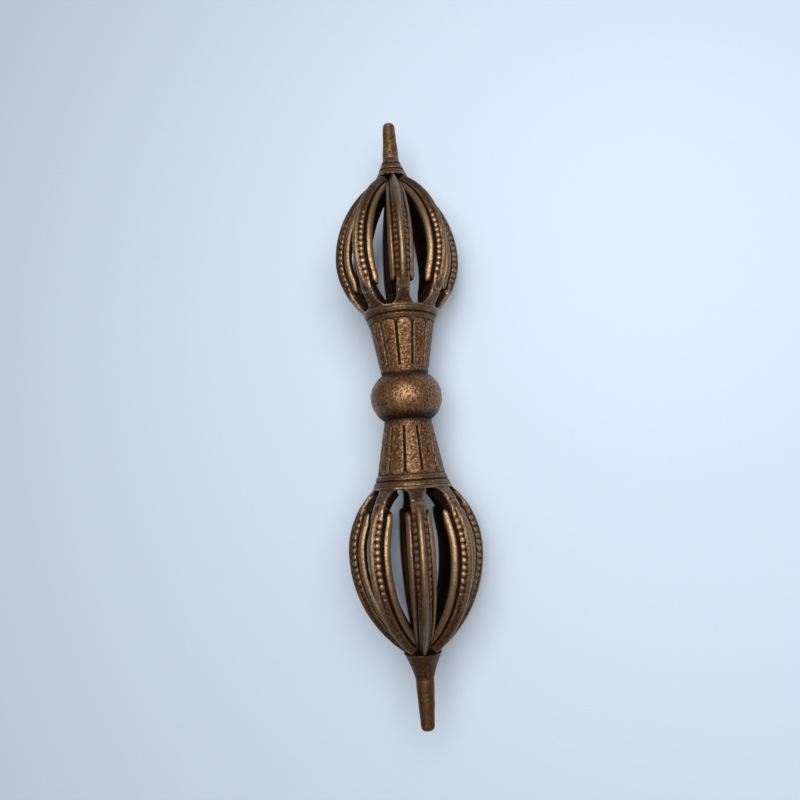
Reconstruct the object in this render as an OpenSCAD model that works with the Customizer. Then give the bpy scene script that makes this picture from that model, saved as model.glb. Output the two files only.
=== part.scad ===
// Double-ended vajra of cast bronze: a squashed hub ball between two fluted collars, and at each
// end a hollow cage of eight beaded ribs that gathers under a banded cap with a blunt point.
// It lies along X on its ribs, upper end towards +X, with the origin at the middle of the ball.
// Each piece is drawn on its own half's axis: Z is the distance from the ball, X points outwards
// through the middle of a rib, and Y runs across the rib.

/* [Hub ball] */
// Largest radius of the squashed ball
ball_r = 8.25; // [7.4:0.05:10]
// Radius of the ball's rounded side, seen in profile
ball_side_r = 6.1; // [5:0.05:7]

/* [Collars] */
// Length of a collar from the ball to the rim ring
collar_len = 12.3; // [10:0.1:18]
// Radius of a collar at the ball
neck_r = 5.4; // [4.8:0.05:6.2]
// Radius of a collar at the rim ring
collar_r = 7.7; // [6.8:0.05:8.2]
// Length of the plain band beside the ball
neck_band = 1.8; // [1:0.1:3]
// Distance from the arched panel ends to the rim ring
panel_rim = 0.7; // [0.4:0.05:1.5]
// Radius of the arched panel ends
panel_arch_r = 2.1; // [1.9:0.05:4]
// Number of panels round a collar
panel_count = 12; // [10:1:16]
// Width of the grooves between the panels
flute_w = 0.5; // [0.3:0.05:0.8]
// Depth of the grooves between the panels
flute_depth = 0.4; // [0.2:0.05:0.7]

/* [Rim rings] */
// Radius of a rim ring at the collar
rim_r = 7.9; // [7.7:0.05:9]
// Radius of a rim ring at the crown
rim_top_r = 8.8; // [8.3:0.05:9.3]
// Height of each band
band_h = 1.05; // [0.8:0.05:2]
// Width of the groove between the bands
band_gap = 0.35; // [0.2:0.05:0.8]
// Depth of the groove between the bands
band_gap_depth = 0.3; // [0.15:0.05:0.6]
// Bevel of the bands' edges
band_bevel = 0.2; // [0.1:0.02:0.35]

/* [Crowns] */
// Height of the flared lip below the windows
lip_h = 0.65; // [0.6:0.05:1.2]
// Width of the lip's flat top
lip_w = 1.6; // [1:0.05:2.4]
// Thickness of the crown's floor
floor_t = 0.55; // [0.4:0.05:0.6]
// Length of a neck from the lip to the rib's foot, along its curve
neck_len = 4.1; // [3.5:0.1:6]
// Radius of a neck's rounded back, seen along the neck
neck_back_r = 2.8; // [2.4:0.1:5]
// Height of a neck's back above the edge of the lip
neck_proud = 0.1; // [0.05:0.05:0.3]
// Radius of the windows' round corners
window_fillet = 0.9; // [0.4:0.05:1.2]
// Depth to which the round corners run into the lip
corner_bite = 0.05; // [0.02:0.01:0.1]

/* [Ribs] */
// Number of ribs in a cage
rib_count = 8; // [6:1:9]
// Radius of a cage at its widest
cage_r = 14.9; // [14:0.1:17]
// Radius of a cage at the feet of the ribs
foot_r = 11.7; // [11:0.1:12.6]
// Radius of the ribs' backs at the cap
gather_r = 3.85; // [3.5:0.05:4.5]
// Distance from the feet of the ribs to the widest place, along the axis
bulge_h = 10; // [8:0.1:12]
// Distance from the widest place to the cap, along the axis
gather_h = 21; // [17:0.1:26]
// Width of a rib at the widest place
rib_w = 6.5; // [5.8:0.05:7.2]
// Width that a rib tapers to at the cap
rib_tip_w = 3.5; // [2.8:0.05:4.2]
// Thickness of a rib at the widest place
rib_t = 2.6; // [2.4:0.05:3]
// Depth of a rib where it meets the cap, square to the axis
tip_depth = 1.8; // [1.6:0.05:2]
// Width of a rib's raised bar at the widest place
bar_w = 3.5; // [3.1:0.05:3.9]
// Radius of the bar's rounded back, seen along the rib
bar_back_r = 2; // [2:0.1:3.5]
// Depth of the bar's back below the ridge
bar_depth = 0.3; // [0.2:0.05:0.45]
// Width of the round ridge along the middle of the bar
ridge_w = 1.4; // [1.1:0.05:1.6]
// Width of each groove between the bar and a wing
groove_w = 0.35; // [0.2:0.05:0.5]
// Depth of these grooves below the ridge
groove_depth = 1.9; // [1.8:0.05:2.1]
// Radius of the round back that the two wings share, seen along the rib
wing_back_r = 3.5; // [3.5:0.1:5]
// Depth of the wings' round back below the ridge
wing_depth = 0.6; // [0.3:0.05:0.75]
// Length over which the wings widen from the foot
wing_ramp = 2.3; // [1.5:0.1:4]
// Radius of a bead
bead_r = 0.58; // [0.4:0.01:0.62]
// Distance between the beads of a row
bead_pitch = 1.46; // [1.2:0.02:1.8]
// Distance from the foot of a rib to the first bead
bead_start = 1.15; // [1:0.05:2]
// Number of beads in a row
bead_count = 14; // [8:1:16]
// Number of beads over which a row rises from the foot
bead_rise = 2; // [1:1:4]
// Number of beads over which a row fades out towards the cap
bead_fade = 4; // [2:1:6]
// Gap between neighbouring ribs where they crowd together under the cap
crowd_gap = 0.12; // [0.06:0.01:0.3]

/* [Caps and points] */
// Width by which a cap's rim stands over the ribs' backs
cap_lip = 0.3; // [0.15:0.05:0.6]
// Height of a cap
cap_h = 5.2; // [4.4:0.1:7]
// Number of bands on a cap
cap_bands = 3; // [2:1:4]
// Depth of the steps between the upper cap's bands
upper_step = 0.22; // [0.1:0.02:0.3]
// Depth of the steps between the lower cap's bands
lower_step = 0.08; // [0.04:0.02:0.3]
// Length of a point beyond its cap
point_len = 10.2; // [7:0.1:16]
// Radius of a point at the cap
point_r = 2.05; // [1.8:0.05:2.3]
// Radius of a point at its blunt end
point_end_r = 1.5; // [1.2:0.05:1.7]

/* [Joinery] */
// Clearance of each sliding fit
fit = 0.05; // [0.02:0.01:0.1]
// Radius of the tie rod
rod_r = 1.6; // [1.2:0.05:2]
// Radius of the tie rod's peened heads
rod_head_r = 2.8; // [2.4:0.05:3.4]
// Height of the tie rod's peened heads
rod_head_h = 1; // [0.6:0.05:1.4]
// Radius of the collar spigots in the ball
spigot_r = 3.2; // [2.6:0.05:4]
// Length of the collar spigots in the ball
spigot_len = 1.5; // [1:0.1:2.5]
// Radius of the collar bosses inside the rim rings
boss_r = 5.6; // [4.5:0.05:6.5]
// Width of the tenons between necks and ribs
tenon_w = 1.5; // [1:0.05:1.8]
// Thickness of the tenons between necks and ribs
tenon_t = 0.7; // [0.5:0.05:0.8]
// Length of the tenons between necks and ribs
tenon_len = 1.8; // [1.2:0.1:2.4]
// Wall between a tenon and the inside of its rib
tenon_wall = 0.45; // [0.4:0.05:0.6]
// Length of the rib tongues in a cap
tongue_len = 1.3; // [0.8:0.1:1.6]
// Thickness of the rib tongues in a cap
tongue_t = 0.75; // [0.5:0.05:0.85]
// Height of the tongues' roots below the cap
tongue_root = 0.4; // [0.2:0.05:0.8]
// Distance from the inside of a rib's tip to its tongue
tongue_inset = 0.1; // [0.05:0.05:0.3]
// Radius of a point's tail in its cap
tail_r = 1.1; // [0.8:0.05:1.2]
// Radius of a tail's peened head
tail_head_r = 1.5; // [1.3:0.05:1.6]
// Height of a tail's peened head
tail_head_h = 0.5; // [0.3:0.05:0.8]

/* [Hidden] */
$fn = 64;
ENDS = ["upper", "lower"];

rib_step = 360 / rib_count;
panel_step = 360 / panel_count;
bore_r = rod_r + fit;

// Radius of the circle through a curve's two ends that runs along the axis at its widest end
function curve_radius(rise, drop) = (rise * rise + drop * drop) / (2 * drop);

// Radius of the curve to the cap at a depth below a rib's back, as a share of the rib's taper
function tip_layer_r(depth) =
    curve_radius(gather_h, cage_r - gather_r - depth * (1 - tip_depth / rib_t));

// A height to the nearest micron, so that the parts of a rib meet exactly at its widest place
function to_micron(z) = round(z * 1000) / 1000;

// Curves of a rib's back, from its foot to the widest place and from there to the cap
foot_curve_r = curve_radius(bulge_h, cage_r - foot_r);
tip_curve_r = curve_radius(gather_h, cage_r - gather_r);
tip_inside_r = gather_r - tip_depth;
inner_curve_r = tip_layer_r(rib_t);
foot_angle = asin(bulge_h / foot_curve_r);
neck_angle = neck_len / foot_curve_r * 180 / PI;
lip_angle = foot_angle + neck_angle;
foot_len = foot_curve_r * foot_angle * PI / 180;

// Heights along the axis, from the ball outwards
ball_offset = ball_r - ball_side_r;
seat_z = to_micron(sqrt(pow(ball_side_r, 2) - pow(neck_r - ball_offset, 2)));
rim_z = seat_z + collar_len;
crown_z = rim_z + 2 * band_h + band_gap;
floor_z = crown_z + floor_t;
lip_z = crown_z + lip_h;
bulge_z = to_micron(lip_z + foot_curve_r * sin(lip_angle));
foot_z = bulge_z - bulge_h;
cap_z = bulge_z + gather_h;
point_z = cap_z + cap_h;
foot_centre = [cage_r - foot_curve_r, bulge_z];
collar_slope = atan((collar_r - neck_r) / collar_len);
collar_slope_len = collar_len / cos(collar_slope);

// All edges of a rib converge on one line, parallel to the axis and behind it
fan_r = cage_r - rib_w * (cage_r - gather_r) / (rib_w - rib_tip_w);
lip_r = foot_centre.x + foot_curve_r * cos(lip_angle) - neck_proud;
stem_w = bar_w * (foot_r - fan_r) / (cage_r - fan_r);

// Distance between a rib's two bead rows, and their depth on the bar's round back
row_w = (bar_w + ridge_w) / 2;
row_depth = bar_depth + bar_back_r - sqrt(pow(bar_back_r, 2) - pow(row_w / 2, 2));

// The core under a rib's bar and grooves reaches to the middle of each wing
core_w = (bar_w + rib_w) / 2 + groove_w;

// The ridge is a round bar, a little wider than what shows of it
ridge_back_share = 0.62;

// The tongues stand in a ring groove of the cap
tongue_r = tip_inside_r + tongue_inset;
tongue_w = 2 * (tongue_r * tan(rib_step / 2) - crowd_gap);
cap_r = gather_r + cap_lip;

// Spare length and angle by which cutting and cut shapes pass each other
spare = 2;
spare_angle = 5;

// Lays a half's piece along X, towards +X for the upper end and -X for the lower end
module lay(end) rotate([0, end == "upper" ? 90 : -90, 0]) children();

// Turns a piece about the axis to the place of rib i
module at_rib(i) rotate([0, 0, (i - 0.5) * rib_step]) children();

// Shows a half profile, radius by height, as a turned solid
module turned() rotate_extrude() children();

module hub_ball() color("#7a5c38") rotate([0, 90, 0]) turned() difference() {
    intersection() {
        translate([ball_offset, 0]) circle(ball_side_r);
        translate([bore_r, -seat_z]) square([ball_r, 2 * seat_z]);
    }
    for (side = [-1, 1])
        translate([0, side * (seat_z - (spigot_len + fit - spare) / 2)])
            square([2 * (spigot_r + fit), spigot_len + fit + spare], center = true);
}

// Half profile of a peened head on a seat at height z: a low dome
module peened_head(r, h, z) intersection() {
    dome_r = curve_radius(r, h);
    translate([0, z + h - dome_r]) circle(dome_r);
    translate([0, z]) square([r + spare, h + spare]);
}

module tie_rod() color("#6b5335") rotate([0, 90, 0]) turned() {
    translate([0, -floor_z]) square([rod_r, 2 * floor_z]);
    peened_head(rod_head_r, rod_head_h, floor_z);
    mirror([0, 1]) peened_head(rod_head_r, rod_head_h, floor_z);
}

// Outline of a collar panel, across by distance up the slope, grown at its sides and its arched end
module panel_outline(side_grow, end_grow) {
    end_v = collar_slope_len - panel_rim + end_grow;
    arch_v = end_v - panel_arch_r - end_grow;
    half = [for (v = [neck_band, end_v])
        (neck_r + v * sin(collar_slope)) * sin(panel_step / 2) - flute_w / 2 + side_grow];
    intersection() {
        polygon([[-half[0], neck_band], [half[0], neck_band], [half[1], end_v], [-half[1], end_v]]);
        union() {
            translate([0, arch_v]) circle(panel_arch_r + end_grow);
            translate([-collar_r, 0]) square([2 * collar_r, arch_v]);
        }
    }
}

// Cut round a panel's sides and end, half of it shared with each neighbour
module panel_cut() {
    edge_drop = collar_r * (1 - cos(panel_step / 2));
    translate([neck_r, 0, seat_z]) rotate([0, collar_slope, 0]) rotate([90, 0, 90])
        translate([0, 0, -edge_drop - 2 * flute_depth]) linear_extrude(edge_drop + 2 * flute_depth + spare)
            difference() {
                panel_outline(flute_w / 2 + fit, flute_w);
                panel_outline(0, 0);
            }
}

// A collar without panels, its slope sunk by a depth
module collar_body(depth) turned() polygon([
    [bore_r, seat_z - spigot_len], [spigot_r, seat_z - spigot_len], [spigot_r, seat_z],
    [neck_r - depth, seat_z], [collar_r - depth, rim_z], [boss_r, rim_z], [boss_r, crown_z],
    [bore_r, crown_z]
]);

// Collar whose panels are in line with rib i, with the sunk slope as the floor of all grooves
module collar(i) color("#8a6a40") at_rib(i) {
    collar_body(flute_depth);
    difference() {
        collar_body(0);
        for (panel = [1 : panel_count]) rotate([0, 0, panel * panel_step]) panel_cut();
    }
}

// Radius of the rim ring's flare at a height
function flare_r(z) = rim_r + (rim_top_r - rim_r) * (z - rim_z) / (crown_z - rim_z);

module rim_ring() color("#866740") turned() {
    groove_r = flare_r(rim_z + band_h + band_gap / 2) - band_gap_depth;
    for (low = [rim_z, rim_z + band_h + band_gap]) {
        high = low + band_h;
        polygon([
            [boss_r + fit, low], [flare_r(low) - band_bevel, low],
            [flare_r(low + band_bevel), low + band_bevel],
            [flare_r(high - band_bevel), high - band_bevel],
            [flare_r(high) - band_bevel, high], [boss_r + fit, high]
        ]);
    }
    translate([boss_r + fit, rim_z + band_h / 2]) square([groove_r - boss_r - fit, band_h + band_gap]);
}

// Area within a cage, radius by height, up to a depth below the ribs' ridges
module layer_area(depth) {
    r = cage_r - depth;
    for (part = [[foot_curve_r - depth, crown_z, bulge_z], [tip_layer_r(depth), bulge_z, cap_z + spare]])
        intersection() {
            translate([r - part[0], bulge_z]) circle(part[0]);
            translate([0, part[1]]) square([r + spare, part[2] - part[1]]);
        }
}

// Bar of a rib's thickness, its back at a depth below the ridge, cut off at the sides only
module curved_slab(depth) rotate([90, 0, 0]) linear_extrude(2 * rib_w, center = true) difference() {
    layer_area(depth);
    layer_area(rib_t);
}

// Round bar along one of a rib's two curves, its back at a depth below the ridge
module round_arc(curve_r, from, to, r, depth) translate([cage_r - depth - curve_r, 0, bulge_z])
    rotate([90, 0, 0]) rotate_extrude(start = from, angle = to - from)
        translate([curve_r - r, 0]) circle(r);

module foot_round(r, depth) round_arc(foot_curve_r - depth, -lip_angle - spare_angle, 0, r, depth);

module tip_round(r, depth)
    round_arc(tip_layer_r(depth), 0, asin(gather_h / (tip_layer_r(depth) - rib_t)), r, depth);

// Wedge between two edges that converge as a rib's edges do, w apart at the widest place
module fan(w) {
    far_r = cage_r + spare;
    far_w = w * (far_r - fan_r) / (cage_r - fan_r);
    translate([0, 0, crown_z]) linear_extrude(cap_z + spare - crown_z)
        polygon([[fan_r, 0], [far_r, -far_w / 2], [far_r, far_w / 2]]);
}

// Turns a shape about the converging line, to w sideways at the widest place
module fanned(w) translate([fan_r, 0, 0]) rotate([0, 0, atan(w / (cage_r - fan_r))])
    translate([-fan_r, 0, 0]) children();

// Places a shape at a distance along the ridge from the rib's foot
module along_rib(distance, depth) {
    past = distance - foot_len;
    curve_r = past < 0 ? foot_curve_r : tip_curve_r;
    layer_r = past < 0 ? foot_curve_r - depth : tip_layer_r(depth);
    translate([cage_r - depth - layer_r, 0, bulge_z]) rotate([0, -past / curve_r * 180 / PI, 0])
        translate([layer_r, 0, 0]) children();
}

// Side of the foot's plane that holds the rib, or with side = -1 the neck, between floor and cap
module beyond_foot(side) {
    reach = foot_curve_r + cap_z;
    low_z = crown_z + floor_t / 2;
    rotate([90, 0, 0]) linear_extrude(2 * rib_w, center = true) intersection() {
        translate(foot_centre) rotate(-foot_angle)
            translate([-reach, side > 0 ? 0 : -reach]) square([2 * reach, reach]);
        translate([-reach, low_z]) square([2 * reach, cap_z - low_z]);
    }
}

// Tenon that stands on a neck and enters the rib's foot
module tenon(clearance) along_rib(0, rib_t - tenon_wall - tenon_t / 2) {
    root = spare / 2;
    length = tenon_len + clearance + root;
    translate([0, 0, length / 2 - root])
        cube([tenon_t + 2 * clearance, tenon_w + 2 * clearance, length], center = true);
}

// A neck seen from outside, across by height, with the windows' round corners at its foot
module stem_outline() {
    half = stem_w / 2;
    flare = half + window_fillet;
    corner_z = lip_z + window_fillet - corner_bite;
    translate([-half, crown_z]) square([stem_w, cap_z - crown_z]);
    difference() {
        translate([-flare, crown_z]) square([2 * flare, corner_z - crown_z]);
        for (side = [-1, 1]) translate([side * flare, corner_z]) circle(window_fillet);
    }
}

module crown() color("#86663c") {
    turned() polygon([
        [bore_r, crown_z], [rim_top_r, crown_z], [lip_r, lip_z],
        [lip_r - lip_w, lip_z], [lip_r - lip_w, floor_z], [bore_r, floor_z]
    ]);
    for (i = [1 : rib_count]) at_rib(i) {
        intersection() {
            curved_slab(-spare);
            beyond_foot(-1);
            foot_round(neck_back_r, 0);
            rotate([90, 0, 90]) linear_extrude(2 * cage_r) stem_outline();
        }
        tenon(0);
    }
}

// Wedge that keeps a rib clear of its neighbours
module own_sector() {
    far_r = cage_r + spare;
    apex_r = crowd_gap / 2 / sin(rib_step / 2);
    far_w = (far_r - apex_r) * tan(rib_step / 2);
    translate([0, 0, crown_z]) linear_extrude(cap_z + spare - crown_z)
        polygon([[apex_r, 0], [far_r, -far_w], [far_r, far_w]]);
}

// A rib seen from outside, across by height: the wings widen from the foot, past the fan's edges
module wing_outline() {
    ramp = 2 * wing_ramp;
    half = rib_w - stem_w / 2;
    polygon([
        [-stem_w / 2, foot_z], [stem_w / 2, foot_z], [half, foot_z + ramp], [half, cap_z + spare],
        [-half, cap_z + spare], [-half, foot_z + ramp]
    ]);
}

// How far bead i of a row lies below its place: the first and the last ones fade into the row
function bead_sink(i) = bead_r * max(0, (bead_rise - i) / (bead_rise + 1),
    (i + 1 - bead_count + bead_fade) / (bead_fade + 1));

module bead_rows() for (side = [-1, 1], i = [0 : bead_count - 1])
    fanned(side * row_w / 2)
        along_rib(bead_start + i * bead_pitch, row_depth + bead_sink(i)) sphere(bead_r);

// Tongue at a rib's tip, rooted in the rib along its slope
module tongue() {
    slope = gather_h / sqrt(pow(inner_curve_r, 2) - pow(gather_h, 2));
    rotate([90, 0, 0]) linear_extrude(tongue_w, center = true) polygon([
        [tongue_r, cap_z], [tongue_r, cap_z + tongue_len], [tongue_r + tongue_t, cap_z + tongue_len],
        [tongue_r + tongue_t, cap_z], [tongue_r + tongue_t + tongue_root * slope, cap_z - tongue_root],
        [tongue_r + tongue_root * slope, cap_z - tongue_root]
    ]);
}

// Round-backed bar along a rib, inside the rib's thickness and between two edges w apart
module rounded(r, depth, w) intersection() {
    union() {
        foot_round(r, depth);
        tip_round(r, depth);
    }
    curved_slab(-spare);
    fan(w);
}

module rib(i) color("#94743f") at_rib(i) difference() {
    union() {
        intersection() {
            union() {
                intersection() {
                    curved_slab(groove_depth);
                    fan(core_w);
                }
                difference() {
                    rounded(wing_back_r, wing_depth, rib_w);
                    fan(bar_w + 2 * groove_w);
                }
                rounded(bar_back_r, bar_depth, bar_w);
                rounded(ridge_back_share * ridge_w, 0, ridge_w);
            }
            own_sector();
            beyond_foot(1);
            rotate([90, 0, 90]) linear_extrude(2 * cage_r) wing_outline();
        }
        bead_rows();
        tongue();
    }
    tenon(fit);
}

module cap(step) color("#80613a") turned() difference() {
    band_rise = cap_h / cap_bands;
    taper = (cap_r - point_r) / cap_bands;
    groove_r = norm([tongue_r + tongue_t, tongue_w / 2]) + fit;
    polygon(concat(
        [[tail_r + fit, cap_z]],
        [for (i = [0 : cap_bands - 1], top = [0, 1])
            [cap_r - (i + top) * taper + (i + top < cap_bands ? top * step : 0),
             cap_z + (i + top) * band_rise]],
        [[tail_r + fit, point_z]]
    ));
    translate([tongue_r - fit, cap_z - spare])
        square([groove_r - tongue_r + fit, tongue_len + fit + spare]);
}

module point() color("#8c6b3e") turned() {
    round_z = point_z + point_len - point_end_r;
    polygon([[0, point_z], [point_r, point_z], [point_end_r, round_z], [0, round_z]]);
    intersection() {
        translate([0, round_z]) circle(point_end_r);
        translate([0, round_z]) square(point_end_r + spare);
    }
    translate([0, cap_z]) square([tail_r, cap_h]);
    translate([0, cap_z]) mirror([0, 1]) peened_head(tail_head_r, tail_head_h, 0);
}

hub_ball();
tie_rod();
for (end = ENDS) {
    lay(end) collar(end == "upper" ? 1 : rib_count);
    lay(end) rim_ring();
    lay(end) crown();
    for (i = [1 : rib_count])
        lay(end) rib(i);
    lay(end) cap(end == "upper" ? upper_step : lower_step);
    lay(end) point();
}
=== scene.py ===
import math

import bmesh
import bpy
import numpy as np
from mathutils import Matrix, Vector


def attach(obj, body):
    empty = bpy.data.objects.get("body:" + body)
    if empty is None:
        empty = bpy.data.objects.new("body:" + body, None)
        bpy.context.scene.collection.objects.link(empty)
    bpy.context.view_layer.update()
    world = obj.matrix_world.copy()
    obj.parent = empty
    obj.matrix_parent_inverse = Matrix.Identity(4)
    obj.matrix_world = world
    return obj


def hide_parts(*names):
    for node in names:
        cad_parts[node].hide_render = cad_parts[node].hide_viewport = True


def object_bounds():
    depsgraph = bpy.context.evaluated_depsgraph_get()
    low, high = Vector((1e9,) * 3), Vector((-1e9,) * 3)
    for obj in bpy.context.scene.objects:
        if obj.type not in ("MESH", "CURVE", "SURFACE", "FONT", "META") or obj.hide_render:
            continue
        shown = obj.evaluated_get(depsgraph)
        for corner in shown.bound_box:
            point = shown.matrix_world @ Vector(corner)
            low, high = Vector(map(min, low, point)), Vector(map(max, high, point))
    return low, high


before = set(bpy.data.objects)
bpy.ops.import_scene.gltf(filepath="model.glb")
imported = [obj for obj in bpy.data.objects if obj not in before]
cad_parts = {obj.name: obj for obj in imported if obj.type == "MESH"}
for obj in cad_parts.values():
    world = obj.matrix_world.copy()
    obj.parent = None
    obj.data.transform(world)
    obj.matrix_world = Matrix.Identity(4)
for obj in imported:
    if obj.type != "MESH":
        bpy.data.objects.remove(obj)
cad_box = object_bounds()

# Tie rod
# A plain bronze rod through ball, collars and crowns, peened over inside both cages.
# Only its two heads show, between the ribs, and they are dark with old grime.

MM = 0.001

# The skin of antiqued bronze: three browns, then its glints, worn places and pits, and the near black of
# grime with painted shade
BROWN, OLIVE, ROSY = (0.160, 0.066, 0.024), (0.175, 0.086, 0.030), (0.195, 0.088, 0.046)
GLINT, WORN = (0.46, 0.31, 0.20, 1.0), (0.44, 0.285, 0.145, 1.0)
PIT, SHADE_GRIME_BLACK = (0.032, 0.014, 0.007, 1.0), (0.010, 0.005, 0.003, 1.0)
GRAIN_SIZE, FLECK_SIZE, PATCH_SIZE, TINT_SIZE = 0.52, 0.33, 2.4, 6.0
BUMP_DEPTH = 0.06


class Sock:
    """A socket of a node tree. Arithmetic on it adds Math nodes to that tree."""

    def __init__(self, tree, socket):
        self.tree, self.socket = tree, socket

    def add(self, kind, settings, inputs, output=0):
        """Adds a node of a kind, sets it, gives its inputs values or links, and returns an output."""
        node = self.tree.nodes.new(kind)
        for name, value in settings.items():
            setattr(node, name, value)
        for key, value in inputs.items():
            if isinstance(value, Sock):
                self.tree.links.new(value.socket, node.inputs[key])
            else:
                node.inputs[key].default_value = value
        return Sock(self.tree, node.outputs[output])

    def math(self, operation, *values):
        return self.add("ShaderNodeMath", {"operation": operation}, dict(enumerate(values)))

    def __add__(self, other):
        return self.math("ADD", self, other)

    def __sub__(self, other):
        return self.math("SUBTRACT", self, other)

    def __rsub__(self, other):
        return self.math("SUBTRACT", other, self)

    def __mul__(self, other):
        return self.math("MULTIPLY", self, other)

    def __truediv__(self, other):
        return self.math("DIVIDE", self, other)

    def __rtruediv__(self, other):
        return self.math("DIVIDE", other, self)

    def __pow__(self, other):
        return self.math("POWER", self, other)

    def __abs__(self):
        return self.math("ABSOLUTE", self)

    __radd__, __rmul__ = __add__, __mul__

    def low(self, other):
        return self.math("MINIMUM", self, other)

    def high(self, other):
        return self.math("MAXIMUM", self, other)

    def over(self, other):
        return self.math("GREATER_THAN", self, other)

    def between(self, low, high):
        return self.high(low).low(high)

    def ease(self, start, end):
        """Rises smoothly from 0 to 1 as the value goes from start to end."""
        settings = {"interpolation_type": "SMOOTHSTEP"}
        return self.add("ShaderNodeMapRange", settings, {0: self, 1: start, 2: end})

    def toward(self, other, share):
        return self + (other - self) * share

    def blend(self, colour, other, share):
        """Mixes two colours, each a colour or a socket."""
        sockets = {0: share, 6: colour, 7: other}
        return self.add("ShaderNodeMix", {"data_type": "RGBA"}, sockets, 2)


def bronze(name, tone, pitting, polish, shine=0.88):
    """Antiqued bronze: darkened by painted shade, with some grime, where the relief is low and where a
    piece's mesh marks it, worn paler where it is high, and pitted.

    Tone scales its browns, polish the worn places and the gloss, and shine is the share of bare metal.
    """
    material = bpy.data.materials.new(name)
    material.use_nodes = True
    tree = material.node_tree
    shader = tree.nodes["Principled BSDF"]
    shader.inputs["Specular IOR Level"].default_value = 0.08
    shader.inputs["Coat Roughness"].default_value = 0.36
    place = Sock(tree, tree.nodes.new("ShaderNodeTexCoord").outputs["Object"])
    place = place.add("ShaderNodeVectorMath", {"operation": "SCALE"}, {0: place, 3: 1 / MM})
    relief = place.add("ShaderNodeAttribute", {"attribute_name": "relief"}, {}, 2)
    hollow = place.add("ShaderNodeAttribute", {"attribute_name": "hollow"}, {}, 2)

    def cloud(size):
        sockets = {"Vector": place, "Scale": 1 / size, "Detail": 2.0, "Roughness": 0.55}
        return place.add("ShaderNodeTexNoise", {}, sockets)

    def toned(colour):
        return (*(channel * tone for channel in colour), 1.0)

    grain, fleck, patch, tint = (cloud(s) for s in (GRAIN_SIZE, FLECK_SIZE, PATCH_SIZE, TINT_SIZE))
    specks = grain.ease(0.56, 0.62).high(fleck.ease(0.59, 0.65)) * pitting
    glints = (1 - grain).ease(0.54, 0.66) * pitting
    wear = (relief + (patch - 0.5) * 0.08 + (grain - 0.5) * 0.1).ease(0.02, 0.16)
    # Painted shade with some grime: dark in low relief and wherever the piece's mesh marks shade
    shade_grime_share = ((grain - 0.5) * 0.05 - relief).ease(0.015, 0.13).high(hollow)

    colour = place.blend(toned(BROWN), toned(OLIVE), patch.ease(0.42, 0.62))
    colour = place.blend(colour, toned(ROSY), tint.ease(0.5, 0.64) * 0.6)
    colour = place.blend(colour, GLINT, glints * 0.42)
    colour = place.blend(colour, WORN, wear * polish)
    colour = place.blend(colour, PIT, specks * (1 - wear * 0.4) * 0.95)
    colour = place.blend(colour, SHADE_GRIME_BLACK, shade_grime_share * 0.95)
    roughness = 0.44 - 0.06 * wear + 0.1 * specks + 0.15 * shade_grime_share + (fleck - 0.5) * 0.2
    metal = shine - 0.2 * shade_grime_share - 0.25 * specks
    coat = (1 - shade_grime_share) * (0.7 - 0.5 * specks) * polish
    height = glints * 0.4 - specks + fleck * 0.3
    sockets = {"Strength": 0.5, "Distance": BUMP_DEPTH * MM, "Height": height}
    bump = place.add("ShaderNodeBump", {}, sockets)

    linked = {"Base Color": colour, "Roughness": roughness, "Metallic": metal}
    linked |= {"Coat Weight": coat, "Normal": bump}
    for label, value in linked.items():
        tree.links.new(value.socket, shader.inputs[label])
    return material


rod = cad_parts["tie_rod"]
rod.data.materials.clear()
rod.data.materials.append(bronze("rod_bronze", tone=0.45, pitting=0.6, polish=0.3))

# Hub ball
# A squashed ball of cast bronze between the two collars, dark brown with a fine pitted skin.
# It is bored through for the tie rod, and both collars are let into its ends.

BALL_R, BALL_SIDE_R, BALL_SEAT, BORE_R = 8.25, 6.1, 5.16, 1.65
ARC_STEPS, SOFT_PASSES, WELD = 40, 2, 0.002
WAVES, RELIEF_REACH = 18, 0.5
ball_bronze = bronze("ball_bronze", tone=1.05, pitting=1.0, polish=0.5, shine=0.84)


def uneven(points, size, seed):
    """Soft unevenness of a hand-finished casting at points in mm, about -1 to 1."""
    draw = np.random.default_rng(seed)
    waves = draw.normal(size=(WAVES, 3)) * 2.2 / size
    shift = draw.uniform(0, 2 * math.pi, WAVES)
    return np.cos(points @ waves.T + shift).sum(1) / 6


def ease(value, start, end):
    """Rises smoothly from 0 to 1 as the values go from start to end."""
    share = np.clip((value - start) / (end - start), 0, 1)
    return share * share * (3 - 2 * share)


def points_of(mesh):
    """A mesh's points in mm and its normals."""
    count = len(mesh.vertices)
    points, normals = np.empty(count * 3), np.empty(count * 3)
    mesh.vertices.foreach_get("co", points)
    mesh.vertex_normals.foreach_get("vector", normals)
    return points.reshape(-1, 3) / MM, normals.reshape(-1, 3)


def store(mesh, name, values):
    mesh.attributes.new(name, "FLOAT", "POINT").data.foreach_set("value", values.astype("f"))


def relaxed(mesh, reach):
    """A mesh's points after each has moved to its neighbours' middle again and again, over a reach in mm."""
    points = points_of(mesh)[0]
    count = len(points)
    ends = np.empty(len(mesh.edges) * 2, np.int32)
    mesh.edges.foreach_get("vertices", ends)
    one, two = ends.reshape(-1, 2).T
    spacing = np.median(np.linalg.norm(points[one] - points[two], axis=1))
    degree = np.bincount(ends, minlength=count)[:, None]
    for _ in range(int(2 * (reach / spacing) ** 2)):
        sums = [
            np.bincount(one, points[two, k], count) + np.bincount(two, points[one, k], count)
            for k in range(3)
        ]
        points = np.stack(sums, axis=1) / degree
    return points


def placed(name, data):
    """A new object in the scene for a mesh, a lamp or a camera."""
    item = bpy.data.objects.new(name, data)
    bpy.context.scene.collection.objects.link(item)
    return item


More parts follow.
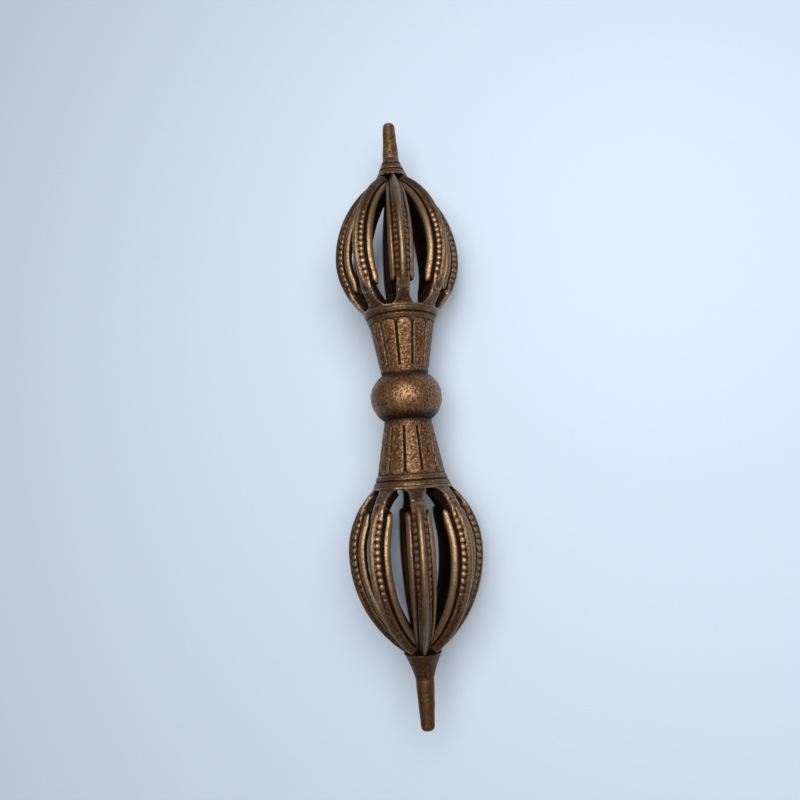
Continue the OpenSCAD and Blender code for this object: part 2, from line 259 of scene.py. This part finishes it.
def cast_piece(node, mesh, material):
    """Makes a finished mesh a piece in place of its CAD node, and marks how high its points stand."""
    mesh.name = node + "_cast"
    mesh.shade_smooth()
    points, normals = points_of(mesh)
    store(mesh, "relief", ((points - relaxed(mesh, RELIEF_REACH)) * normals).sum(1))
    mesh.materials.clear()
    mesh.materials.append(material)
    piece = placed(node + "_cast", mesh)
    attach(piece, "root")
    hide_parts(node)


def face_out(mesh, merge=0.0):
    """Closes a mesh's seams and points its faces outwards."""
    work = bmesh.new()
    work.from_mesh(mesh)
    bmesh.ops.remove_doubles(work, verts=work.verts, dist=merge * MM)
    bmesh.ops.recalc_face_normals(work, faces=work.faces)
    work.to_mesh(mesh)
    work.free()


def softened(profile, step, closed):
    """A polyline of (distance along the axis, radius) in small steps with its corners rounded."""
    profile = np.array(profile, float)
    if closed:
        profile = np.vstack([profile, profile[:1]])
    length = np.r_[0, np.cumsum(np.linalg.norm(np.diff(profile, axis=0), axis=1))]
    along = np.linspace(0, length[-1], int(length[-1] / step) + 1)
    line = np.stack([np.interp(along, length, profile[:, k]) for k in range(2)], axis=1)
    if closed:
        line = line[:-1]
    for _ in range(SOFT_PASSES):
        mean = (np.roll(line, 1, axis=0) + 2 * line + np.roll(line, -1, axis=0)) / 4
        if not closed:
            mean[0], mean[-1] = line[0], line[-1]
        line = mean
    return line


def spread(x, r, theta):
    """Points at angles round the X axis, as rows of x, y and z."""
    return np.stack([x, r * np.sin(theta), r * np.cos(theta)], axis=1)


def turned(profile, step, columns, shape, closed=True):
    """A piece turned about the X axis; shape moves its points, given in mm with their angles."""
    line = softened(profile, step, closed)
    rows = len(line)
    x, r = np.repeat(line, columns, axis=0).T
    theta = np.tile(np.linspace(0, 2 * math.pi, columns, endpoint=False), rows)
    x, r = shape(x, r, theta)
    faces = []
    for row in range(rows if closed else rows - 1):
        a, b = row * columns, (row + 1) % rows * columns
        for k in range(columns):
            n = (k + 1) % columns
            faces.append((a + k, b + k, b + n, a + n))
    mesh = bpy.data.meshes.new("turned")
    mesh.from_pydata((spread(x, r, theta) * MM).tolist(), [], faces)
    face_out(mesh, merge=WELD)
    return mesh


def ball_shape(x, r, theta):
    """Broad waves and small dents all over the ball, but not in its bore."""
    spots = spread(x, r, theta)
    drift = uneven(spots, size=5.0, seed=3) * 0.05 + uneven(spots, size=1.6, seed=4) * 0.02
    return x, r + np.where(r > 4, drift, 0)


half_angle = math.asin(BALL_SEAT / BALL_SIDE_R)
ball_line = [(-BALL_SEAT, BORE_R)]
for k in range(2 * ARC_STEPS + 1):
    turn = half_angle * (k / ARC_STEPS - 1)
    across = BALL_R - BALL_SIDE_R + BALL_SIDE_R * math.cos(turn)
    ball_line.append((BALL_SIDE_R * math.sin(turn), across))
ball_line.append((BALL_SEAT, BORE_R))
ball = turned(ball_line, step=0.14, columns=256, shape=ball_shape)

# Painted shade, with some grime, darkens the corners against the collars, most of it on the lower side,
# under the ball
ball_x = points_of(ball)[0][:, 0]
upper_shade_grime, lower_shade_grime = ease(ball_x, 3.3, 4.9) * 0.75, ease(-ball_x, 2.8, 4.7) * 0.95
store(ball, "hollow", np.maximum(upper_shade_grime, lower_shade_grime))
cast_piece("hub_ball", ball, ball_bronze)

# Collars
# Fluted collars of cast bronze, narrow at the ball, with twelve flat panels between dark grooves.
# The panels end in arches under the rim ring; each collar is let into ball and ring.

collar_bronze = bronze("collar_bronze", tone=0.72, pitting=1.0, polish=0.14, shine=0.55)
COLLAR = {
    "From": BALL_SEAT,
    "To": 17.46,
    "Bore": BORE_R,
    "Neck radius": 5.4,
    "Rim radius": 7.66,
    "Panels": 12.0,
    "Panel start": 1.8,
    "Corner radius": 1.35,
    "Arch gap": 0.22,
    "Groove width": 0.62,
    "Arch groove": 0.34,
    "Groove depth": 0.5,
    "Seed": 0.0,
}
UNEVEN_SCALE, UNEVEN_DEPTH, SKIN = 0.6, 0.12, 0.04
RIB_STEP = 45.0


def tree_with(name, sizes):
    """A new geometry node tree with a number input for each size, and its inputs by name."""
    tree = bpy.data.node_groups.new(name, "GeometryNodeTree")
    for label, value in sizes.items():
        socket = tree.interface.new_socket(label, in_out="INPUT", socket_type="NodeSocketFloat")
        socket.default_value = value
    tree.interface.new_socket("Geometry", in_out="OUTPUT", socket_type="NodeSocketGeometry")
    entry = tree.nodes.new("NodeGroupInput")
    return tree, {label: Sock(tree, entry.outputs[label]) for label in sizes}


def grid_of(start, rows, columns):
    """A grid of points in a tree, with each point's row and its share of the way across."""
    sockets = {"Size X": 1, "Size Y": 1, "Vertices X": rows, "Vertices Y": columns}
    grid = start.add("GeometryNodeMeshGrid", {}, sockets)
    place = start.add("GeometryNodeInputPosition", {}, {})
    spot = start.add("ShaderNodeSeparateXYZ", {}, {0: place})
    across = Sock(start.tree, spot.socket.node.outputs[1])
    return grid, (spot + 0.5) * (rows - 1), across + 0.5


def finish_tree(grid, position, hollow, material):
    """Moves a grid's points to their places, closes its seams and ends the tree."""
    sockets = {"Geometry": grid, "Name": "hollow", "Value": hollow}
    marked = grid.add("GeometryNodeStoreNamedAttribute", {"data_type": "FLOAT"}, sockets)
    moved = grid.add("GeometryNodeSetPosition", {}, {"Geometry": marked, "Position": position})
    welded = grid.add("GeometryNodeMergeByDistance", {}, {"Geometry": moved, "Distance": WELD})
    real = grid.add("GeometryNodeRealizeInstances", {}, {"Geometry": welded})
    done = grid.add("GeometryNodeSetMaterial", {}, {"Geometry": real, "Material": material})
    grid.tree.links.new(done.socket, grid.tree.nodes.new("NodeGroupOutput").inputs[0])


def finished(carrier):
    """The plain mesh that an object's modifiers make; the object and its own mesh are removed."""
    depsgraph = bpy.context.evaluated_depsgraph_get()
    mesh = bpy.data.meshes.new_from_object(carrier.evaluated_get(depsgraph))
    start = carrier.data
    carrier.modifiers.clear()
    bpy.data.objects.remove(carrier)
    bpy.data.meshes.remove(start)
    return mesh


def made_by(tree, seed):
    """Runs a geometry node tree with a seed of its own and returns its plain mesh."""
    carrier = placed("carrier", bpy.data.meshes.new("start"))
    modifier = carrier.modifiers.new("tree", "NODES")
    modifier.node_group = tree
    modifier[tree.interface.items_tree["Seed"].identifier] = seed
    return finished(carrier)


def collar_tree(rows, columns):
    """Geometry nodes for a collar: a cone whose panels are set off by grooves, and its bore."""
    tree, size = tree_with("fluted_collar", COLLAR)
    start = size["From"]
    grid, row, across = grid_of(start, rows, columns)
    length = size["To"] - start
    along = (row / (rows - 4)).low(1.0) * length
    turn = across * (2 * math.pi)
    radius = size["Neck radius"].toward(size["Rim radius"], along / length)
    pitch = 2 * math.pi / size["Panels"]
    offset = turn.math("WRAP", turn, pitch / 2, 0.0 - pitch / 2)

    # Distance outside a panel's outline: straight sides and a round-cornered end
    half = radius * pitch / 2 - size["Groove width"] / 2
    corner = size["Corner radius"]
    aside = (abs(offset) * radius - half + corner).high(0.0)
    above = (along - length + size["Arch gap"] + corner).high(0.0)
    outside = (aside * aside + above * above) ** 0.5 - corner
    arched = above.ease(0.0, corner * 0.8)
    width = size["Groove width"].toward(size["Arch groove"], arched)
    groove = 1 - abs(outside - width / 2).ease(width * 0.2, width * 0.55)
    begins = along.ease(size["Panel start"] - 0.25, size["Panel start"] + 0.35)
    groove = groove * begins * (1 - arched * 0.55)

    sine, cosine = turn.math("SINE", turn), turn.math("COSINE", turn)
    spot = start.add("ShaderNodeCombineXYZ", {}, {0: along, 1: radius * sine, 2: radius * cosine})
    sockets = {"Vector": spot, "W": size["Seed"], "Scale": UNEVEN_SCALE, "Detail": 3.0}
    noise = start.add("ShaderNodeTexNoise", {"noise_dimensions": "4D"}, sockets)
    radius = radius - groove * size["Groove depth"] + (noise - 0.5) * UNEVEN_DEPTH - SKIN

    # The last three rows close the collar round its bore
    bored = row.over(rows - 3.5)
    back = row.over(rows - 2.5)
    last = row.over(rows - 1.5)
    radius = radius.toward(size["Bore"], bored).toward(size["Neck radius"], last)
    along = along.toward(0.0, back)

    # Painted shade, with some grime, darkens the grooves, the corner against the ball, the band under the
    # rim ring and the spandrels beside the arches
    hollow = (groove * 0.9).high((1 - along.ease(0.1, 1.1)) * 0.85).high(bored)
    hollow = hollow.high(along.ease(length - 0.25, length - 0.05) * 0.8)
    hollow = hollow.high(outside.ease(0.1, 0.4) * arched * 0.55)
    sockets = {0: along + start, 1: radius * sine, 2: radius * cosine}
    finish_tree(grid, start.add("ShaderNodeCombineXYZ", {}, sockets), hollow, collar_bronze)
    return tree


collars = collar_tree(rows=112, columns=432)
for end, seed, turn in (("upper", 1.3, RIB_STEP / 2), ("lower", 7.7, -RIB_STEP / 2)):
    mesh = made_by(collars, seed)
    mesh.transform(Matrix.Rotation(math.radians(turn), 4, "X") @ Matrix.Scale(MM, 4))
    if end == "lower":
        mesh.transform(Matrix.Rotation(math.pi, 4, "Z"))
    face_out(mesh)
    cast_piece(end + "_collar", mesh, collar_bronze)

# Rim rings
# Flared bronze rings of two soft bands at the wide ends of the collars.
# Each sits on its collar's boss, under the crown.

RING_FROM, RING_TO, RING_BORE, RING_R, RING_TOP_R = 17.46, 19.91, 5.65, 7.82, 8.8
BAND_H, BAND_GAP, BAND_GAP_DEPTH, BAND_BEVEL = 1.05, 0.35, 0.2, 0.12
ring_bronze = bronze("ring_bronze", tone=0.4, pitting=0.8, polish=0.26, shine=0.74)


def flare(x):
    """Radius of the ring's flared side at a distance along the axis."""
    return RING_R + (RING_TOP_R - RING_R) * (x - RING_FROM) / (RING_TO - RING_FROM)


def mirrored(mesh, end):
    """Turns a piece drawn towards +X round to the end where it belongs."""
    if end == "lower":
        mesh.transform(Matrix.Rotation(math.pi, 4, "Y"))


ring_line = [(RING_FROM, RING_BORE)]
for low in (RING_FROM, RING_FROM + BAND_H + BAND_GAP):
    high = low + BAND_H
    ring_line += [(low, flare(low) - BAND_BEVEL), (low + BAND_BEVEL, flare(low + BAND_BEVEL))]
    ring_line += [(high - BAND_BEVEL, flare(high - BAND_BEVEL)), (high, flare(high) - BAND_BEVEL)]
    if low == RING_FROM:
        ring_line += [(high, flare(high) - BAND_GAP_DEPTH)]
        ring_line += [(high + BAND_GAP, flare(high + BAND_GAP) - BAND_GAP_DEPTH)]
ring_line.append((RING_TO, RING_BORE))
for end, seed in (("upper", 11), ("lower", 12)):

    def ring_shape(x, r, theta):
        spots = spread(x, r, theta)
        drift = uneven(spots, size=2.2, seed=seed) * 0.04
        return x + np.where(r > 7, drift, 0), r + np.where(r > 7, drift - 0.05, 0)

    mesh = turned(ring_line, step=0.08, columns=256, shape=ring_shape)

    # Painted shade darkens the gap between the bands
    points = points_of(mesh)[0]
    radius = np.hypot(points[:, 1], points[:, 2])
    store(mesh, "hollow", ease(flare(points[:, 0]) - radius, 0.14, 0.24) * 0.9)
    mirrored(mesh, end)
    cast_piece(end + "_rim_ring", mesh, ring_bronze)

# Crowns
# Flared bronze lips with eight short necks that carry the ribs, and round-cornered windows between.
# Cast in one piece and held by the tie rod; the windows' lower edges are worn bright.

FOOT_CENTRE_R, FOOT_ARC, BULGE_X, LIP_X = -2.325, 17.225, 33.587, 20.562
NECK_HALF, FLARE_HALF, FLARE_H, FLARE_DEPTH = 1.4, 2.75, 2.3, 1.6
FLARE_SINK, FLARE_LAYERS, FLARE_SIDE = 0.15, 12, 9
CROWN_GRAIN, CROWN_PASSES = 0.15, 6
crown_bronze = bronze("crown_bronze", tone=0.55, pitting=0.75, polish=0.55)


def neck_reach(x):
    """Radius of the necks' outer faces at a distance along the axis."""
    return np.sqrt(FOOT_ARC**2 - (BULGE_X - np.maximum(x, LIP_X)) ** 2) + FOOT_CENTRE_R


def add_flares(mesh, way):
    """Adds to a crown the webs in its windows' corners, where the necks widen into the lip."""
    work = bmesh.new()
    work.from_mesh(mesh)
    sides = np.linspace(-1, 1, FLARE_SIDE)
    round_web = 2 * FLARE_SIDE
    for middle in np.radians(RIB_STEP * (np.arange(8) + 0.5)):
        rings = []
        for share in np.linspace(-FLARE_SINK, 1, FLARE_LAYERS):
            x = LIP_X + FLARE_H * share
            inset = math.sqrt(1 - (1 - max(share, 0)) ** 2)
            half = NECK_HALF + (FLARE_HALF - NECK_HALF) * (1 - inset)
            outer = neck_reach(x)
            out = np.repeat([outer, outer - FLARE_DEPTH], FLARE_SIDE)
            turn = middle + np.r_[sides, -sides] * half / outer
            spots = spread(np.full(round_web, x * way), out, turn) * MM
            rings.append([work.verts.new(spot) for spot in spots])
        for low, high in zip(rings, rings[1:]):
            for k in range(round_web):
                n = (k + 1) % round_web
                work.faces.new((low[k], low[n], high[n], high[k]))
        work.faces.new(rings[0])
        work.faces.new(rings[-1])
    bmesh.ops.recalc_face_normals(work, faces=work.faces)
    work.to_mesh(mesh)
    work.free()


def soft_crown(node, way):
    """A copy of a crown's CAD mesh in even small faces, its windows' corners filled and edges soft."""
    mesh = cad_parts[node].data.copy()
    face_out(mesh, merge=0.001)
    add_flares(mesh, way)
    carrier = placed("carrier", mesh)
    remesh = carrier.modifiers.new("grain", "REMESH")
    remesh.mode, remesh.voxel_size, remesh.adaptivity = "VOXEL", CROWN_GRAIN * MM, 0.0
    smooth = carrier.modifiers.new("soft", "SMOOTH")
    smooth.factor, smooth.iterations = 0.5, CROWN_PASSES
    return finished(carrier)


for end, way, seed in (("upper", 1, 21), ("lower", -1, 22)):
    mesh = soft_crown(end + "_crown", way)
    points, normals = points_of(mesh)
    shift = uneven(points, size=2.5, seed=seed) * 0.05 - SKIN
    mesh.vertices.foreach_set("co", ((points + normals * shift[:, None]) * MM).ravel())

    # Painted shade darkens the windows' inner walls and all that faces the axis
    points, normals = points_of(mesh)
    x, radius = np.abs(points[:, 0]), np.hypot(points[:, 1], points[:, 2])
    inward = -(points[:, 1:] * normals[:, 1:]).sum(1) / radius
    depth = np.where(x > LIP_X - 0.3, neck_reach(x) - radius, 0)
    store(mesh, "hollow", np.maximum(ease(depth, 0.5, 1.2), ease(inward, 0.1, 0.5)))
    cast_piece(end + "_crown", mesh, crown_bronze)

# Ribs
# Eight bulging ribs of cast bronze to a cage: a round ridge, a row of beads on each slope below it,
# and a rounded wing beyond a deep groove. They stand on the necks and gather under the cap.

RIB = {
    "Cage radius": 14.9,
    "Foot arc": FOOT_ARC,
    "Tip arc": 25.48,
    "Bulge height": BULGE_X,
    "Foot length": 10.67,
    "Tip length": 24.68,
    "Foot lap": 1.0,
    "Fan line": -12.0,
    "Width": 6.5,
    "Stem width": 3.08,
    "Stem back": 2.8,
    "Thickness": 3.9,
    "Inside taper": 0.22,
    "Foot thinning": 1.1,
    "Tip thinning": 1.6,
    "Roof slope": 1.12,
    "Roof round": 0.75,
    "Ridge width": 1.7,
    "Ridge height": 0.2,
    "Bar width": 3.56,
    "Row depth": 0.14,
    "Groove width": 0.38,
    "Groove depth": 0.5,
    "Wing height": 0.28,
    "Wing ramp": 2.0,
    "Bead radius": 1.2,
    "Bead seat": 0.95,
    "Bead pitch": 1.46,
    "Bead start": 1.15,
    "Beads": 14.0,
    "Bead rise": 2.0,
    "Bead fade": 5.0,
    "Crowd gap": 0.16,
    "Seed": 0.0,
}
THIN_RUN, BAR_RUN = 4.0, 3.4
SINK_END, SINK_INSET, SINK_DEPTH = -0.35, 0.25, 0.4
STEP_BEFORE, STEP_AFTER = 0.08, 0.06
BEAD_VARIES, BEAD_DRIFTS, BEAD_LOWERED = 0.08, 0.14, 0.3
rib_bronze = bronze("rib_bronze", tone=0.5, pitting=0.65, polish=0.5)


def rib_tree(rows, columns):
    """Geometry nodes for one rib: a closed loop of points round its section, carried along its curve."""
    tree, size = tree_with("beaded_rib", RIB)
    seed = size["Seed"]
    grid, row, loop = grid_of(seed, rows, columns)

    # Along the curve: from a lap inside the neck, over the widest place, to the cap
    length = size["Foot length"] + size["Tip length"]
    share = ((row - 1) / (rows - 3)).between(0.0, 1.0)
    along = share * (length + size["Foot lap"]) - size["Foot lap"]
    past = along - size["Foot length"]
    tipward = past.over(0.0)
    arc = size["Foot arc"].toward(size["Tip arc"], tipward)
    lean = past / arc
    flat, rise = lean.math("COSINE", lean), lean.math("SINE", lean)
    back_r = size["Cage radius"] - arc + arc * flat
    fan = (back_r - size["Fan line"]) / (size["Cage radius"] - size["Fan line"])
    thick = size["Thickness"] - size["Tip thinning"] * (1 - flat) * tipward
    thick = thick - size["Foot thinning"] * (1 - along.ease(0.0, THIN_RUN))
    thin = thick / size["Thickness"]

    # Round the section: most of the loop is the back with its two edges, the rest is the inside
    back_share, wall_share = 0.84, 0.07
    back = loop / back_share * 2 - 1
    inside = 1 - (loop - back_share) / (1 - back_share) * 2
    is_back = 1 - loop.over(back_share + 0.0001)
    wall = ((abs(back) - (1 - wall_share)) / wall_share).between(0.0, 1.0)
    side = inside.toward((back / (1 - wall_share)).between(-1.0, 1.0), is_back)

    # The foot dives into the neck, and the wings begin a little further on with round ends
    sunk = 1 - along.ease(0.0 - size["Foot lap"], SINK_END)
    stem = (size["Stem width"] / 2 - SINK_INSET * sunk) / fan
    ramp = 1 - (along / size["Wing ramp"]).between(0.0, 1.0)
    limit = stem + (size["Width"] / 2 - stem) * (1 - ramp * ramp) ** 0.5
    t = side * limit
    at, sign = abs(t), t.math("SIGN", t)

    # The section's roof, and what stands out of it: ridge, beads, groove and wing
    ridge_end, bar_end = size["Ridge width"] / 2, size["Bar width"] / 2
    wing_start = bar_end + size["Groove width"]
    wing_mid, wing_half = (wing_start + size["Width"] / 2) / 2, (size["Width"] / 2 - wing_start) / 2
    hip = (at * at + size["Roof round"] ** 2) ** 0.5
    roof = size["Roof slope"] * (hip - size["Roof round"]) + size["Ridge height"]
    tangent = size["Roof slope"] * at / hip
    steep = 1 / (1 + tangent * tangent) ** 0.5

    # Beads of slightly different sizes in two rows; the first ones rise, and the last ones fade
    number = seed.math("ROUND", (along - size["Bead start"]) / size["Bead pitch"])
    number = number.between(0.0, size["Beads"] - 1)
    key = seed.add("ShaderNodeCombineXYZ", {}, {0: number, 1: sign, 2: seed})
    chance = seed.add("ShaderNodeTexWhiteNoise", {"noise_dimensions": "3D"}, {"Vector": key}, 0)
    bead_r = size["Bead radius"] * (0.95 + BEAD_VARIES * chance)
    off = along - size["Bead start"] - number * size["Bead pitch"] + (chance - 0.5) * BEAD_DRIFTS
    aside = (at - (ridge_end + bar_end) / 2) * fan / steep
    dome = (bead_r * bead_r - off * off - aside * aside).high(0.0) ** 0.5
    sink = ((size["Bead rise"] - number) / (size["Bead rise"] + 1)).high(0.0)
    fade = (number + 1 - size["Beads"] + size["Bead fade"]) / (size["Bead fade"] + 1)
    row_floor = 0.0 - size["Row depth"] * (1 - 0.7 * (along / length).ease(0.55, 0.75))
    beads = row_floor.high(dome - size["Bead seat"] - sink.high(fade) * BEAD_LOWERED)
    ridge = size["Ridge height"] * (1 - (at / ridge_end) ** 2 * 0.8)
    wing = size["Wing height"] * (1 - ((at - wing_mid) / wing_half) ** 2)
    in_row = at.ease(ridge_end - STEP_BEFORE, ridge_end + STEP_AFTER)
    in_groove = at.ease(bar_end - STEP_BEFORE, bar_end + STEP_AFTER)
    in_wing = at.ease(wing_start - STEP_BEFORE, wing_start + STEP_BEFORE)
    relief = ridge.toward(beads, in_row).toward(0.0 - size["Groove depth"], in_groove)
    relief = relief.toward(wing, in_wing)

    # The bar rises from the neck's round back, with the unevenness of its casting
    stem_back = (at * fan) ** 2 / (2 * size["Stem back"]) - 0.06
    grown = along.ease(0.0, BAR_RUN).high(in_groove)
    where = seed.add("ShaderNodeCombineXYZ", {}, {0: along, 1: t, 2: seed * 7.0})
    sockets = {"Vector": where, "Scale": UNEVEN_SCALE, "Detail": 3.0}
    noise = seed.add("ShaderNodeTexNoise", {}, sockets)
    rough = (noise - 0.5) * UNEVEN_DEPTH * along.ease(0.0, 1.0) + 0.05
    depth = stem_back.toward((roof - relief * steep) * thin, grown) + rough
    depth = depth + in_groove * ramp * ramp * 0.8 + sunk * SINK_DEPTH
    depth = depth.low(thick - 0.15)
    depth = thick.toward(depth.toward(thick, wall), is_back)
    t = t + sign * relief * tangent * steep * grown * is_back * (1 - wall)
    t = t * (1 - size["Inside taper"] * wall.high(1 - is_back))

    # Edges converge on a line behind the axis, and neighbours keep clear of each other at the cap
    end_row = (1 - row.over(0.5)) + row.over(rows - 1.5)
    depth = depth.toward(thick / 2, end_row)
    reach = size["Cage radius"] - arc + (arc - depth) * flat - size["Fan line"]
    swing = t / (size["Cage radius"] - size["Fan line"])
    out = size["Fan line"] + reach * swing.math("COSINE", swing)
    room = out * math.tan(math.radians(RIB_STEP / 2)) - size["Crowd gap"] / 2
    sideways = (reach * swing.math("SINE", swing)).low(room).high(0.0 - room) * (1 - end_row)
    height = size["Bulge height"] + (arc - depth) * rise
    place = seed.add("ShaderNodeCombineXYZ", {}, {0: out, 1: sideways, 2: height})

    # Painted shade, with some grime, darkens the inside, the grooves, the places between beads and the
    # wings' beginnings
    groove = in_groove * (1 - in_wing) * grown
    between = in_row * (1 - in_groove) * (1 - (dome - size["Bead seat"]).ease(-0.22, -0.02)) * grown
    between = between * (1 - fade.ease(0.0, 1.0)) * 0.6
    shoulder = (1 - along.ease(0.3, 1.0)) * at.ease(bar_end - 0.1, bar_end + 0.1)
    hollow = (1 - is_back).high(wall.ease(0.0, 0.25)).high(groove * 0.9).high(between).high(shoulder)
    finish_tree(grid, place, hollow, rib_bronze)
    return tree


def laid(end):
    """The turn that lays a half's piece from its own axis along X, upper end towards +X."""
    return Matrix.Rotation(math.radians(90 if end == "upper" else -90), 4, "Y")


ribs = rib_tree(rows=300, columns=104)
for end, first_seed in (("upper", 0.0), ("lower", 20.0)):
    for number in range(1, 9):
        mesh = made_by(ribs, first_seed + number)
        turn = Matrix.Rotation(math.radians((number - 0.5) * RIB_STEP), 4, "Z")
        mesh.transform(laid(end) @ turn @ Matrix.Scale(MM, 4))
        face_out(mesh)
        cast_piece(f"{end}_rib_{number}", mesh, rib_bronze)

# Caps
# Conical bronze caps over the gathered rib ends: two grooves part the upper one into three bands, and the
# lower one is waisted and nearly smooth. Each has a ragged rim and is riveted by the tail of its point.

CAP_FROM, CAP_TO, CAP_R, POINT_R, TAIL_R = 54.59, 59.79, 4.15, 2.05, 1.15
CAP_H, CAP_STEPS, CAP_GROOVES = CAP_TO - CAP_FROM, 53, (0.36, 0.72)
RIM_H, RIM_DEPTH = 0.8, 0.3
# The lower cap's bronze is a darker, duller copy of the upper one's: painted shade
cap_bronze = {
    "upper": bronze("lit_upper_cap_bronze", tone=0.6, pitting=0.6, polish=0.3),
    "lower": bronze("shaded_lower_cap_bronze", tone=0.42, pitting=0.4, polish=0.05, shine=0.78),
}


def in_cut(share):
    """How deep in one of the cap's two grooves a share of its height lies, from 0 to 1."""
    low, high = CAP_GROOVES
    away = np.minimum(np.abs(share - low), np.abs(share - high)) * CAP_H
    return ease(-away, -0.3, -0.1)


for end, seed, groove, waist in (("upper", 31, 0.24, 0.0), ("lower", 32, 0.03, 0.16)):
    share = np.linspace(0, 1, CAP_STEPS)
    side = CAP_R + (POINT_R - CAP_R) * share - waist * 4 * share * (1 - share)
    side = side - groove * in_cut(share)
    cap_line = [(CAP_FROM, TAIL_R), *zip(CAP_FROM + CAP_H * share, side), (CAP_TO, TAIL_R)]

    def cap_shape(x, r, theta):
        spots = spread(x, r, theta)
        ragged = uneven(spots, size=1.3, seed=seed) * 0.16 + uneven(spots, size=0.6, seed=seed + 50) * 0.1
        rim = ease(-x, -CAP_FROM - RIM_H, -CAP_FROM) * ease(r, 3.2, 3.9)
        drift = uneven(spots, size=2.0, seed=seed + 9) * 0.04 - 0.05
        return x + rim * np.abs(ragged), r + np.where(r > 1.6, drift, 0) + rim * ragged * RIM_DEPTH

    mesh = turned(cap_line, step=0.09, columns=160, shape=cap_shape)

    # Painted shade darkens its underside, its grooves and its bore
    points, normals = points_of(mesh)
    radius = np.hypot(points[:, 1], points[:, 2])
    under = ease(-normals[:, 0], 0.3, 0.8) * ease(-radius, -3.9, -3.5)
    line = in_cut((points[:, 0] - CAP_FROM) / CAP_H) * min(groove * 4, 1.0)
    store(mesh, "hollow", np.maximum(np.maximum(under, line), ease(-radius, -1.6, -1.3)))
    mirrored(mesh, end)
    cast_piece(end + "_cap", mesh, cap_bronze[end])

# Points
# Blunt tapered points of solid bronze, each with a tail that passes through its cap and is peened over
# inside the cage. The upper one is paler, partly worn by handling and partly painted light; the lower one's
# darker bronze is painted shade.

POINT_TO, POINT_END_R, END_ROUND, END_STEPS = 69.95, 1.52, 0.8, 8
TAIL_HEAD_R, TAIL_HEAD_H, TAIL_PLAY = 1.5, 0.5, 0.05
# The lower point's bronze is a darker, duller copy of the upper one's: painted shade
point_bronze = {
    "upper": bronze("lit_upper_point_bronze", tone=0.8, pitting=0.8, polish=0.35, shine=0.8),
    "lower": bronze("shaded_lower_point_bronze", tone=0.5, pitting=0.35, polish=0.06, shine=0.68),
}
point_line = [(CAP_FROM - TAIL_HEAD_H, 0.0), (CAP_FROM - 0.35, 0.95), (CAP_FROM, TAIL_HEAD_R)]
point_line += [(CAP_FROM, TAIL_R - TAIL_PLAY), (CAP_TO, TAIL_R - TAIL_PLAY), (CAP_TO, POINT_R)]
for k in range(END_STEPS + 1):
    turn = math.pi / 2 * k / END_STEPS
    across = POINT_END_R - END_ROUND + END_ROUND * math.cos(turn)
    point_line.append((POINT_TO - END_ROUND + END_ROUND * math.sin(turn), across))
point_line.append((POINT_TO, 0.0))
for end, seed in (("upper", 41), ("lower", 42)):

    def point_shape(x, r, theta):
        spots = spread(x, r, theta)
        drift = uneven(spots, size=3.0, seed=seed) * 0.06 - 0.05
        drift = drift + uneven(spots, size=1.0, seed=seed + 9) * 0.02
        return x, r + np.where(r > 0.3, drift, 0)

    mesh = turned(point_line, step=0.11, columns=112, shape=point_shape, closed=False)
    # Painted shade darkens the tail inside the cap, its head inside the cage and the joint with the cap
    points = points_of(mesh)[0]
    store(mesh, "hollow", ease(-points[:, 0], -CAP_TO - 0.15, -CAP_TO))
    mirrored(mesh, end)
    cast_piece(end + "_point", mesh, point_bronze[end])

# Floor, light and camera
# A plain pale floor under the lying object, one large soft lamp high above it, a small panel near it for
# the sheen of its middle, and a camera close above it, slightly to one side.

FLOOR_HALF, FLOOR_COLOUR = 3.0, (0.58, 0.665, 0.765, 1.0)
SKY_COLOUR, SKY_STRENGTH = (0.96, 0.98, 1.0, 1.0), 0.17
CAMERA_AT, CAMERA_TURN = (-0.019916, -0.044484, 0.141085), (10.762, 18.522, -93.833)
floor_z = cad_box[0].z
corners = [(x * FLOOR_HALF, y * FLOOR_HALF) for x, y in ((-1, -1), (1, -1), (1, 1), (-1, 1))]
floor_mesh = bpy.data.meshes.new("floor")
floor_mesh.from_pydata([(x, y, floor_z) for x, y in corners], [], [(0, 1, 2, 3)])
floor = placed("floor", floor_mesh)
floor_paint = bpy.data.materials.new("floor_paint")
floor_paint.use_nodes = True
floor_shader = floor_paint.node_tree.nodes["Principled BSDF"]
floor_shader.inputs["Base Color"].default_value = FLOOR_COLOUR
floor_shader.inputs["Roughness"].default_value = 0.9
floor_mesh.materials.append(floor_paint)

world = bpy.data.worlds.new("studio")
world.use_nodes = True
sky = world.node_tree.nodes["Background"]
sky.inputs["Color"].default_value = SKY_COLOUR
sky.inputs["Strength"].default_value = SKY_STRENGTH
bpy.context.scene.world = world

for name, across, power, spot in (
    ("soft_lamp", 1.4, 11.4, (0.18, -0.25, 1.1)),
    ("near_panel", 0.17, 0.21, (0.035, -0.055, 0.17)),
):
    lamp = bpy.data.lights.new(name, "AREA")
    lamp.shape, lamp.size, lamp.energy = "DISK", across, power
    stand = placed(name, lamp)
    stand.location = spot
    stand.rotation_euler = Vector(spot).to_track_quat("Z", "Y").to_euler()

camera_data = bpy.data.cameras.new("camera")
camera_data.sensor_width = 36.0
camera_data.lens = 28.96
camera_data.shift_y = -0.0625
camera_data.clip_start = 0.005
camera = placed("camera", camera_data)
camera.location = CAMERA_AT
camera.rotation_euler = tuple(math.radians(angle) for angle in CAMERA_TURN)
bpy.context.scene.camera = camera

bpy.context.scene.view_settings.view_transform = "Standard"
